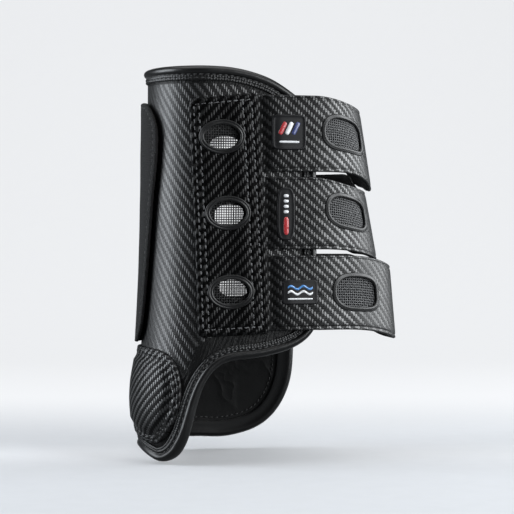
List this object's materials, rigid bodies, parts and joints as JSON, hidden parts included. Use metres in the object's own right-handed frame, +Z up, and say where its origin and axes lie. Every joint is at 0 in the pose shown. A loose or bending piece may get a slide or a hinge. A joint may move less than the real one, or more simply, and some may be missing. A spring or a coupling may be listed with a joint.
{
  "type": "horse tendon boot",
  "caption": "Open-front protective boot for a horse's lower leg: a moulded C-shaped shell with padding, ventilated side panels, a fetlock lobe and hook-and-loop straps that swing open.",
  "frame": {"origin": "on the axis of the leg channel, level with the boot's lowest point", "axes": "+Z up along the leg, +X forward to the open front that the straps close, -Y the side that carries the badges and the strap roots, +Y the side where the strap tabs land"},
  "size_m": [0.1875, 0.1026, 0.2685],
  "materials": {
    "embossed_synthetic_leather": "embossed satin",
    "padding": "closed cell foam",
    "lining": "smooth matt",
    "plate": "matt",
    "binding_tape": "glossy rolled",
    "thread": "waxed thread",
    "moulded_rim": "satin",
    "wire_mesh": "woven",
    "loop_fabric": "ribbed loop pile",
    "hook_tape": "hooked",
    "strap_lining": "knitted",
    "badge_square": "printed, domed",
    "badge_capsule": "printed, domed",
    "badge_label": "printed"
  },
  "bodies": {
    "boot_shell": {"binding_stitching": "thread", "bottom_badge": "badge_label", "bottom_edge_binding": "binding_tape", "bottom_strap_root": "embossed_synthetic_leather", "fetlock_strike_pad": "embossed_synthetic_leather", "foam_padding": "padding", "impact_plate": "plate", "inner_lining": "lining", "inner_vent_mesh_bottom": "wire_mesh", "inner_vent_mesh_middle": "wire_mesh", "inner_vent_mesh_top": "wire_mesh", "inner_vent_rim_bottom": "moulded_rim", "inner_vent_rim_middle": "moulded_rim", "inner_vent_rim_top": "moulded_rim", "loop_panel": "loop_fabric", "middle_badge": "badge_capsule", "middle_strap_root": "embossed_synthetic_leather", "outer_shell": "embossed_synthetic_leather", "outer_vent_mesh_bottom": "wire_mesh", "outer_vent_mesh_middle": "wire_mesh", "outer_vent_mesh_top": "wire_mesh", "outer_vent_rim_bottom": "moulded_rim", "outer_vent_rim_middle": "moulded_rim", "outer_vent_rim_top": "moulded_rim", "strike_pad_stitching": "thread", "top_badge": "badge_square", "top_edge_binding": "binding_tape", "top_strap_root": "embossed_synthetic_leather", "vent_panel": "embossed_synthetic_leather", "vent_panel_stitching": "thread"},
    "top_strap": {"top_strap_lining": "strap_lining", "top_strap_skin": "embossed_synthetic_leather", "top_window_frame": "moulded_rim", "top_window_mesh": "wire_mesh"},
    "top_tab": {"top_hook_pad": "hook_tape", "top_tab_lining": "strap_lining", "top_tab_skin": "embossed_synthetic_leather"},
    "middle_strap": {"middle_strap_lining": "strap_lining", "middle_strap_skin": "embossed_synthetic_leather", "middle_window_frame": "moulded_rim", "middle_window_mesh": "wire_mesh"},
    "middle_tab": {"middle_hook_pad": "hook_tape", "middle_tab_lining": "strap_lining", "middle_tab_skin": "embossed_synthetic_leather"},
    "bottom_strap": {"bottom_strap_lining": "strap_lining", "bottom_strap_skin": "embossed_synthetic_leather", "bottom_window_frame": "moulded_rim", "bottom_window_mesh": "wire_mesh"},
    "bottom_tab": {"bottom_hook_pad": "hook_tape", "bottom_tab_lining": "strap_lining", "bottom_tab_skin": "embossed_synthetic_leather"}
  },
  "joints": [
    {"name": "top_strap_swing", "type": "hinge", "parent": "boot_shell", "child": "top_strap", "pos_m": [0.05213, -0.04385, 0.19808], "axis": [0.0003, -0.0109, -0.9999], "range_deg": [0, 115]},
    {"name": "top_tab_peel", "type": "hinge", "parent": "top_strap", "child": "top_tab", "pos_m": [0.05237, 0.04584, 0.20171], "axis": [0.0003, 0.0104, -0.9999], "range_deg": [0, 80]},
    {"name": "middle_strap_swing", "type": "hinge", "parent": "boot_shell", "child": "middle_strap", "pos_m": [0.05216, -0.04502, 0.14537], "axis": [0.0006, -0.0226, -0.9997], "range_deg": [0, 115]},
    {"name": "middle_tab_peel", "type": "hinge", "parent": "middle_strap", "child": "middle_tab", "pos_m": [0.05241, 0.04693, 0.14961], "axis": [0.0007, 0.0213, -0.9998], "range_deg": [0, 80]},
    {"name": "bottom_strap_swing", "type": "hinge", "parent": "boot_shell", "child": "bottom_strap", "pos_m": [0.05223, -0.04733, 0.09055], "axis": [0.0013, -0.0427, -0.9991], "range_deg": [0, 115]},
    {"name": "bottom_tab_peel", "type": "hinge", "parent": "bottom_strap", "child": "bottom_tab", "pos_m": [0.05248, 0.04936, 0.09065], "axis": [0.0014, 0.0427, -0.9991], "range_deg": [0, 80]}
  ]
}
